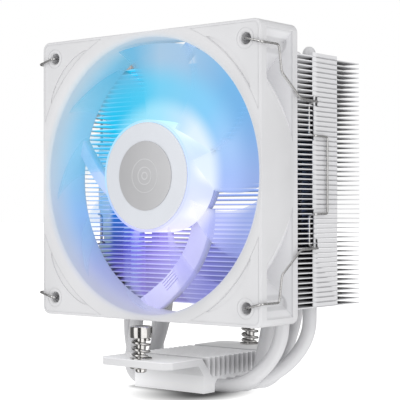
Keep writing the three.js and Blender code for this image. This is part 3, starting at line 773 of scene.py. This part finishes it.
def frame_shell():
    rings = []
    for k in range(5):
        a = k / 4 * pi / 2
        inset = 0.7 * (1 - sin(a))
        rings.append(fan_ring(
            rounded_rectangle(FAN_HALF - inset, FAN_HALF - inset, 3.5 - inset), 0.7 * (1 - cos(a)),
        ))
    for k in range(4):
        a = k / 3 * pi / 2
        inset = 0.5 * (1 - cos(a))
        rings.append(fan_ring(
            rounded_rectangle(FAN_HALF - inset, FAN_HALF - inset, 3.5 - inset),
            FAN_DEPTH - 0.5 + 0.5 * sin(a),
        ))
    body = solid_object("fan_frame_shell", [loft(rings)])
    cone = lathe([(0, 3.2), (70, 3.2), (61.1, 21.8), (0, 21.8)], in_fan(), 192)
    for pocket in pocket_shells():
        boolean(body, combine(solid_object("pocket", [pocket]), [cone]))
    lip = [(DUCT_RADIUS + 4.9 * (1 - cos(a)), 2.6 * (1 - sin(a)))
           for a in [k / 14 * pi / 2 for k in range(15)]]
    bore = [(0, -1.0), (lip[-1][0], -1.0)] + lip[::-1]
    bore += [(DUCT_RADIUS, 22.5), (DUCT_RADIUS + 1.2, FAN_DEPTH + 1), (0, FAN_DEPTH + 1)]
    cutters = [lathe(bore, in_fan(), 224)]
    for quarter in range(4):
        (x, z), = turned([(HOLE_OFFSET, HOLE_OFFSET)], quarter)
        hole = [(0, -1), (2.85, -1), (2.85, 0.05), (2.4, 0.5), (2.4, 24.6), (2.8, 25.1),
                (2.8, 26), (0, 26)]
        groove = [(4.0, -1), (4.22, -1), (4.22, 0.14), (4.0, 0.14)]
        cutters.append(lathe(hole, in_fan(x, z), 40))
        cutters.append(lathe(groove, in_fan(x, z), 56))
        cutters.append(ring_prism(turned(seam_loop(), quarter), 0.2, -1, 0.14))
        cutters.append(fan_slab(turned(crescent(), quarter), -1, 0.35))
    combine(body, cutters)
    return piece(body, LOOKS["frame"], replaces=["fan_frame"], sharp=30)


def strut_line(outer_angle, steps=26):
    """Centre line of a strut that sweeps round as it runs in from the duct to the motor."""
    start, end = 59.6, 19.5
    line = []
    for k in range(steps + 1):
        radius = start + (end - start) * k / steps
        run = DUCT_RADIUS - radius
        a = radians(outer_angle + 0.9 * run + 0.017 * run * run)
        line.append(Vector((radius * cos(a), radius * sin(a))))
    return line


def pulled_in(point, limit=59.2):
    """The point, pulled in towards the axis where it lies too far out in the frame's wall."""
    return tuple(point * min(1.0, limit / point.length))


def strut(outer_angle, width):
    line = strut_line(outer_angle)
    rings = []
    for depth, inset in [(20.5, 0.55), (20.65, 0.18), (21.0, 0.0), (24.6, 0.0), (25.0, 0.35)]:
        left, right = [], []
        for i, point in enumerate(line):
            along = (line[min(i + 1, len(line) - 1)] - line[max(i - 1, 0)]).normalized()
            offset = Vector((-along.y, along.x)) * (width / 2 - inset)
            left.append(pulled_in(point + offset))
            right.append(pulled_in(point - offset))
        rings.append(fan_ring(left + right[::-1], depth))
    return loft(rings)


def vent_slots():
    """Five fine slots through the face of the wide arm, side by side along it."""
    start, end = Vector((-2.2, -39.2)), Vector((-8.6, -45.0))
    across = Vector((3.3, -3.7))
    along = (end - start).normalized()
    slots = []
    for k in range(5):
        a = start + across * (k / 4)
        b = end + across * (k / 4)
        side = Vector((-along.y, along.x)) * 0.24
        slots.append(fan_slab([tuple(a - side), tuple(b - side), tuple(b + side), tuple(a + side)],
                              19, 22.6))
    return slots


def fan_struts():
    plate = lathe([
        (0, 23), (4, 23), (4, 7), (5.6, 7), (5.6, 21), (20.9, 21), (21.5, 21.5), (21.5, 24.5),
        (21.0, 25.0), (0, 25.0),
    ], in_fan(), 96)
    holder = solid_object("fan_struts", [plate])
    thin, wide = [strut(angle, 5.5) for angle in (81, 166, 346)], strut(254, 9.5)
    combine(holder, thin + [wide], "UNION")
    room = lathe([(5.6, 18), (22.3, 18), (22.3, 21), (5.6, 21)], in_fan(), 96)
    combine(holder, [room] + vent_slots())
    return piece(holder, LOOKS["struts"], replaces=["fan_frame"], sharp=35)


frame_shell()
fan_struts()


# ---------------------------------------------------------------- fan rotor

def edge_distances():
    """For each point of the blades, how far it is along the chord from the nearer edge, 0 to 1."""
    upper = [1 - abs(2 * k / CHORD_STEPS - 1) for k in range(CHORD_STEPS + 1)]
    return (upper + upper[::-1]) * (SPAN_STEPS + 1) * BLADE_COUNT


def blade(index):
    """One twisted blade with a rounded front edge and a thin rear edge."""
    rings = []
    for i in range(SPAN_STEPS + 1):
        u = i / SPAN_STEPS
        radius = BLADE_ROOT + u * (BLADE_TIP - BLADE_ROOT)
        spread = radians(30 - 3 * u)
        rake = radians(16 * u * u)
        height = 15.8 * (1 - 0.1 * u)
        upper, lower = [], []
        for k in range(CHORD_STEPS + 1):
            v = 0.5 - k / CHORD_STEPS
            a = 2 * pi * index / BLADE_COUNT + v * spread + rake
            thickness = 1.3 * min(1.0, 0.25 + 2.2 * sqrt(max(0.5 - v, 0.0)), 0.3 + 2.4 * (v + 0.5))
            middle = 11.3 - v * height * 0.9 - 2.2 * (0.25 - v * v)
            for side, depth in ((upper, middle - thickness / 2), (lower, middle + thickness / 2)):
                side.append((radius * cos(a), FAN_Y + depth, FAN_Z + radius * sin(a)))
        rings.append(upper + lower[::-1])
    return loft(rings)


def rotor():
    hub = lathe([
        (0, 2.4), (22.5, 2.4), (22.5, 1.15), (22.7, 0.92), (23.0, 0.84), (23.25, 0.95),
        (23.4, 1.25), (23.4, 17.9), (23.2, 18.2), (22.0, 18.2), (22.0, 3.8), (3.2, 3.8),
        (3.2, 6.6), (1.8, 6.6), (1.8, 3.4), (0, 3.4),
    ], in_fan(), 128)
    piece(solid_object("rotor_hub", [hub]), LOOKS["hub"], "rotor",
          ["impeller"], 30)
    blades = solid_object("rotor_blades", [blade(i) for i in range(BLADE_COUNT)])
    from_edge = blades.data.attributes.new("from_edge", "FLOAT", "POINT")
    from_edge.data.foreach_set("value", edge_distances())
    piece(blades, LOOKS["blades"], "rotor", ["impeller"], 50)

    cap = lathe([
        (0, 0.62), (21.4, 0.62), (21.9, 0.68), (22.25, 0.9), (22.38, 1.2), (22.38, 2.1), (0, 2.1),
    ], in_fan(), 128)
    piece(solid_object("hub_face", [cap]), LOOKS["cap"], "rotor", ["hub_cap"], 30)
    label = lathe([(0, 0.24), (14.1, 0.24), (14.35, 0.3), (14.4, 0.5), (0, 0.5)], in_fan(), 128)
    piece(solid_object("hub_label", [label]), LOOKS["badge"], "rotor", ["hub_badge"], 30)
    lines = [lathe([(r, 0.19), (r + w, 0.19), (r + w, 0.3), (r, 0.3)], in_fan(), 96)
             for r, w in ((1.2, 0.5), (3.4, 0.4), (6.8, 0.3))]
    piece(solid_object("hub_label_rings", lines), LOOKS["badge_line"], "rotor",
          ["hub_badge"], 30)


rotor()


# ---------------------------------------------------------------- motor, kept from the CAD

def keep(node, look):
    """A CAD node that stays as it is, with a better material."""
    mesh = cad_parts[node].data
    mesh.materials.clear()
    mesh.materials.append(LOOKS[look])


for node, look in {
    "flux_ring": "laminate", "magnet_ring": "magnet", "rotor_shaft": "steel",
    "bearing_sleeve": "brass", "stator_core": "laminate", "light_board": "board",
    "stator_coil_1": "copper", "stator_coil_2": "copper", "stator_coil_3": "copper",
    "stator_coil_4": "copper",
}.items():
    keep(node, look)


# ---------------------------------------------------------------- wire clips

def wire_clip(side, body):
    half = [
        (HOLE_OFFSET, 1.5, 112.5), (HOLE_OFFSET, -1, 112.5), (61, -1, 110.4), (61, 10.4, 110.5),
        (61, 12.3, 99.8), (61, 25.6, 90.2), (61, 38.3, 89.8), (58, 38.1, 89.5), (58, 35.75, 88.7),
        (58, 35.75, 76.4), (61, 36, 75.9), (61, 44.7, 75.8),
    ]
    whole = half + [(x, d, 120 - h) for x, d, h in half[::-1]]
    route = rounded_route([(side * x, FAN_Y + d, FAN_BOTTOM + h) for x, d, h in whole], 1.4)
    piece(solid_object(f"{body}_wire", [sweep(route, 0.48, 14)]), LOOKS["wire"],
          body, [body], 60)


wire_clip(1, "right_clip")
wire_clip(-1, "left_clip")


# ---------------------------------------------------------------- heat pipes

def leg_place(side, row):
    """x and y of a leg. Outer and inner legs take turns, the other way round on each side."""
    outer = (side > 0) == (row % 2 == 0)
    return side * (LEG_OUTER_X if outer else LEG_INNER_X), LEG_FIRST_Y + LEG_STEP_Y * row


def leg_route(side, row):
    """Half of a pipe's centre line, from the edge of the base to the top of its leg."""
    leg_x, leg_y = abs(leg_place(side, row)[0]), leg_place(side, row)[1]
    straight = 1.0 if leg_x == LEG_OUTER_X else 5.0
    base_y = (row - 1.5) * GROOVE_STEP_Y
    bend = leg_x - BASE_HALF_X - straight
    arc = bend * pi / 2
    route = []
    steps, splay_run = 44, 45.0
    for k in range(steps + 1):
        run = splay_run * k / steps
        x, z = BASE_HALF_X + run, PIPE_LOW_Z
        if run > straight + arc:
            x, z = leg_x, PIPE_LOW_Z + bend + run - straight - arc
        elif run > straight:
            turn = (run - straight) / bend
            x, z = BASE_HALF_X + straight + bend * sin(turn), PIPE_LOW_Z + bend * (1 - cos(turn))
        splay = (1 - cos(pi * run / splay_run)) / 2
        route.append((side * x, base_y + (leg_y - base_y) * splay, z))
    top = [PIPE_TOP - 4.2 + 4.2 * sin(k / 9 * pi / 2) for k in range(10)]
    route += [(side * leg_x, leg_y, z) for z in [60, 90, 120] + top]
    return route


def heat_pipe(row):
    right, left = leg_route(1, row), leg_route(-1, row)
    route = left[::-1] + right
    radii = [PIPE_RADIUS] * len(route)
    for k in range(10):
        size = max(PIPE_RADIUS * cos(k / 9 * pi / 2) ** 0.8, 0.05)
        radii[len(route) - 10 + k] = size
        radii[9 - k] = size
    points, faces = sweep(route, radii, 28)
    points = [(p[0], p[1], max(p[2], 0.0)) for p in points]
    name = f"heat_pipe_{row + 1}"
    piece(solid_object(f"{name}_tube", [(points, faces)]), LOOKS["pipes"],
          replaces=[name], sharp=50)


for row in range(4):
    heat_pipe(row)


# ---------------------------------------------------------------- fins

PIPE_LEGS = [leg_place(side, row) for row in range(4) for side in (1, -1)]


def fin_mesh(kind):
    """One stamped fin at height 0: plate, pipe collars and a folded flange on each side."""
    plate = solid_object(f"fin_{kind}", [box((-FIN_HALF_X, FIN_FRONT_Y, 0),
                                            (FIN_HALF_X, FIN_BACK_Y, FIN_THICKNESS))])
    cuts = [lathe([(0, -1), (3.06, -1), (3.06, 1), (0, 1)], upright(x, y), 24)
            for x, y in PIPE_LEGS]
    notches = {"plain": [], "catch": [CATCH_NOTCH], "hook": [CATCH_NOTCH, HOOK_NOTCH]}[kind]
    for side in (1, -1):
        xs = sorted((side * NOTCH_X, side * (FIN_HALF_X + 1)))
        cuts += [box((xs[0], FAN_Y + front, -1), (xs[1], FAN_Y + rear, 1))
                 for front, rear in notches]
        if kind == "hook":
            # The two notches join behind the fin's edge.
            xs = sorted((side * NOTCH_X, side * 59.2))
            cuts.append(box((xs[0], FAN_Y + 36, -1), (xs[1], FAN_Y + 38, 1)))
    combine(plate, cuts)
    first = FLANGE_FRONT if kind == "plain" else CATCH_NOTCH[1]
    corner, second = HOOK_NOTCH if kind == "hook" else (FLANGE_CORNER, FLANGE_CORNER)
    runs = [(first, corner, FIN_PITCH), (second, FLANGE_REAR, FLANGE_HEIGHT)]
    shells = []
    for side in (1, -1):
        xs = sorted((side * FIN_HALF_X, side * (FIN_HALF_X - FIN_THICKNESS)))
        shells += [box((xs[0], FAN_Y + front, 0.02), (xs[1], FAN_Y + rear, top))
                   for front, rear, top in runs]
    for x, y in PIPE_LEGS:
        shells.append(lathe([
            (3.06, 0.1), (3.75, 0.1), (3.75, 0.42), (3.5, 0.5), (3.38, 0.72), (3.34, 1.35),
            (3.06, 1.35),
        ], upright(x, y), 24))
    details = solid_object("details", shells)
    work = bmesh.new()
    work.from_mesh(plate.data)
    work.from_mesh(details.data)
    mesh = bpy.data.meshes.new(f"fin_{kind}")
    work.to_mesh(mesh)
    work.free()
    bpy.data.objects.remove(plate)
    bpy.data.objects.remove(details)
    return mesh


def fin_kind(height):
    """Which cut-outs a fin has at this height above the fan's bottom."""
    from_middle = abs(height + FIN_THICKNESS / 2 - FAN_HALF)
    if 27.5 < from_middle < 31.5:
        return "hook"
    return "catch" if 13.8 < from_middle < 31.2 else "plain"


def fins():
    meshes = {kind: fin_mesh(kind) for kind in ("plain", "catch", "hook")}
    for index in range(FIN_COUNT):
        z = STACK_BOTTOM + index * FIN_PITCH
        obj = bpy.data.objects.new(f"fin_{index + 1:02d}", meshes[fin_kind(z - FAN_BOTTOM)])
        obj.location.z = z * MM
        bpy.context.scene.collection.objects.link(obj)
        piece(obj, LOOKS["fins"], replaces=[f"fin_block_{index // 4 + 1:02d}"],
              sharp=35)


fins()


# ---------------------------------------------------------------- base

def cad_copy(node, name):
    """A copy of a CAD node's mesh, to be given rounded edges."""
    obj = bpy.data.objects.new(name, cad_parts[node].data.copy())
    bpy.context.scene.collection.objects.link(obj)
    return obj


piece(bevelled(cad_copy("base_block", "base_extrusion"), 0.14), LOOKS["base"],
      replaces=["base_block"], sharp=35)


# ---------------------------------------------------------------- mounting screws

def helix(bottom, top, turns, radius, y):
    steps = int(turns * 28)
    path = []
    for k in range(steps + 1):
        t = k / steps
        ease = t - 0.055 * sin(2 * pi * t)
        a = 2 * pi * turns * t
        path.append((radius * cos(a), y - radius * sin(a), bottom + (top - bottom) * ease))
    return path


def mounting_screw(end, y):
    screw = solid_object(f"{end}_screw_body", [lathe([
        (0, 9.2), (1.8, 9.2), (2.2, 9.4), (2.4, 9.75), (2.4, 10.6), (2.3, 10.7), (1.7, 10.7),
        (1.7, 11.6), (2.1, 11.75), (2.1, 23.5), (4.35, 23.5), (4.6, 23.6), (4.7, 23.85),
        (4.7, 27.7), (4.62, 28.0), (4.4, 28.22), (4.1, 28.3), (0, 28.3),
    ], upright(0, y), 64)])
    combine(screw, [box((-2.9, y - 0.55, 26.3), (2.9, y + 0.55, 30)),
                    box((-0.55, y - 2.9, 26.3), (0.55, y + 2.9, 30))])
    piece(screw, LOOKS["steel"], f"{end}_screw", [f"{end}_screw"], 30)

    spring = solid_object(f"{end}_spring_coil", [sweep(helix(16.0, 22.8, 3.0, 3.4, y), 0.58, 12)])
    piece(spring, LOOKS["spring"], "cooler", [f"{end}_spring"], 60)
    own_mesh(spring)

    washer = solid_object(f"{end}_flat_washer", [lathe([
        (2.5, 14.78), (4.5, 14.78), (4.63, 14.9), (4.63, 15.18), (4.5, 15.3), (2.5, 15.3),
    ], upright(0, y), 64)])
    piece(washer, LOOKS["steel"], replaces=[f"{end}_washer"], sharp=30)

    ring = solid_object(f"{end}_snap_ring", [lathe([
        (1.95, 10.98), (4.6, 10.98), (4.68, 11.05), (4.68, 11.36), (4.6, 11.43), (1.95, 11.43),
    ], upright(0, y), 48)])
    combine(ring, [box((0, y - 1.3, 10), (6, y + 1.3, 12))])
    piece(ring, LOOKS["spring"], f"{end}_screw_slide", [f"{end}_retaining_ring"], 30)


mounting_screw("front", -SCREW_Y)
mounting_screw("rear", SCREW_Y)


# ---------------------------------------------------------------- studio

# Fitted to the photograph by the fan's outline and corner holes.
CAMERA_PLACE = (0.3450, -0.4243, 0.0754)
CAMERA_TURN = (90.533, 0.073, 39.033)
CAMERA_LENS = 112.84
KEY_PLACE = (-0.35, -1.0, 0.75)
KEY_TARGET = (0, 0, 0.08)

# Brightness of the studio in reflections, by heading: lights with dark screens between.
SCREENS = [
    (-180, 0.15), (-128, 0.15), (-122, 1.5), (-87, 1.5), (-80, 0.08), (-51, 0.08), (-44, 1.6),
    (12, 1.6), (18, 0.5), (62, 0.5), (72, 0.1), (140, 0.1), (152, 0.7), (168, 0.7), (180, 0.15),
]


def studio_world():
    """White behind the object; the light it gives is brighter from the front and from above."""
    world = bpy.data.worlds.new("studio")
    world.use_nodes = True
    nodes = Nodes(world.node_tree)
    white = (1.0, 1.0, 1.0, 1.0)
    seen = world.node_tree.nodes["Background"]
    nodes.feed(seen.inputs[0], white)
    nodes.feed(seen.inputs[1], 1.0)
    direction = nodes.parts(nodes.node("ShaderNodeTexCoord").outputs["Generated"])
    level = nodes.step(direction[2], -0.5, 0.9, 0.36, 0.60)
    level = nodes.math("ADD", level, nodes.step(direction[1], 0.7, -0.9, 0.0, 0.20))
    level = nodes.math("ADD", level, nodes.step(direction[0], -0.9, 0.9, 0.0, 0.40))
    screens = nodes.levels(nodes.turn(direction[0], direction[1]), SCREENS)
    paths = nodes.node("ShaderNodeLightPath").outputs
    strength = nodes.node("ShaderNodeMix", {0: paths["Is Glossy Ray"], 2: level, 3: screens})
    given = nodes.node("ShaderNodeBackground", {0: white, 1: strength.outputs[0]})
    choice = nodes.node("ShaderNodeMixShader", {
        0: paths["Is Camera Ray"], 1: given.outputs[0], 2: seen.outputs[0],
    })
    nodes.feed(world.node_tree.nodes["World Output"].inputs[0], choice.outputs[0])
    return world


def pale_floor():
    """A floor with painted shadow where the base stands and a painted soft shadow before its front
    corner.
    """
    graph = Graph("pale_floor")
    position = graph.parts(graph.geometry("Position"))
    beyond = [graph.math("MAXIMUM", graph.math("SUBTRACT", graph.size(position[axis]), half), 0.0)
              for axis, half in ((0, 0.0190), (1, 0.0195))]
    contact = graph.step(graph.math("ADD", *beyond), 0.0, 0.008, 0.35, 1.0)
    # The painted soft shadow is an ellipse with its centre at the corner, longer towards the left.
    from_corner = graph.math("SUBTRACT", position[0], 0.019)
    across = graph.math("MAXIMUM", graph.math("DIVIDE", from_corner, 0.019),
                        graph.math("DIVIDE", from_corner, -0.034))
    along = graph.math("DIVIDE", graph.math("ADD", position[1], 0.021), 0.030)
    squares = graph.math("ADD", graph.times(across, across), graph.times(along, along))
    shadow = graph.step(graph.math("SQRT", squares), 0.1, 1.3)
    graph.set(Base_Color=(0.06, 0.06, 0.06, 1), Roughness=0.9)
    graph.set(Emission_Color=(1, 1, 1, 1), Emission_Strength=graph.times(contact, shadow, 1.2))
    return graph.material


def studio():
    scene = bpy.context.scene
    floor_mesh = bpy.data.meshes.new("floor")
    reach = 6.0
    floor_mesh.from_pydata(
        [(-reach, -reach, 0), (reach, -reach, 0), (reach, reach, 0), (-reach, reach, 0)],
        [], [(0, 1, 2, 3)],
    )
    floor_mesh.materials.append(pale_floor())
    floor = bpy.data.objects.new("floor", floor_mesh)
    floor.location.z = -0.0001
    floor.visible_glossy = False
    scene.collection.objects.link(floor)

    scene.world = studio_world()

    key = bpy.data.lights.new("key", "AREA")
    key.shape = "DISK"
    key.size = 0.5
    key.energy = 1.5
    lamp = bpy.data.objects.new("key", key)
    lamp.location = KEY_PLACE
    towards = Vector(KEY_TARGET) - Vector(KEY_PLACE)
    lamp.rotation_euler = towards.to_track_quat("-Z", "Y").to_euler()
    scene.collection.objects.link(lamp)

    camera = bpy.data.cameras.new("camera")
    camera.sensor_width = 36.0
    camera.lens = CAMERA_LENS
    camera.clip_start = 0.01
    holder = bpy.data.objects.new("camera", camera)
    holder.location = CAMERA_PLACE
    holder.rotation_euler = Euler([radians(angle) for angle in CAMERA_TURN], "XYZ")
    scene.collection.objects.link(holder)
    scene.camera = holder
    scene.view_settings.view_transform = "Standard"


studio()
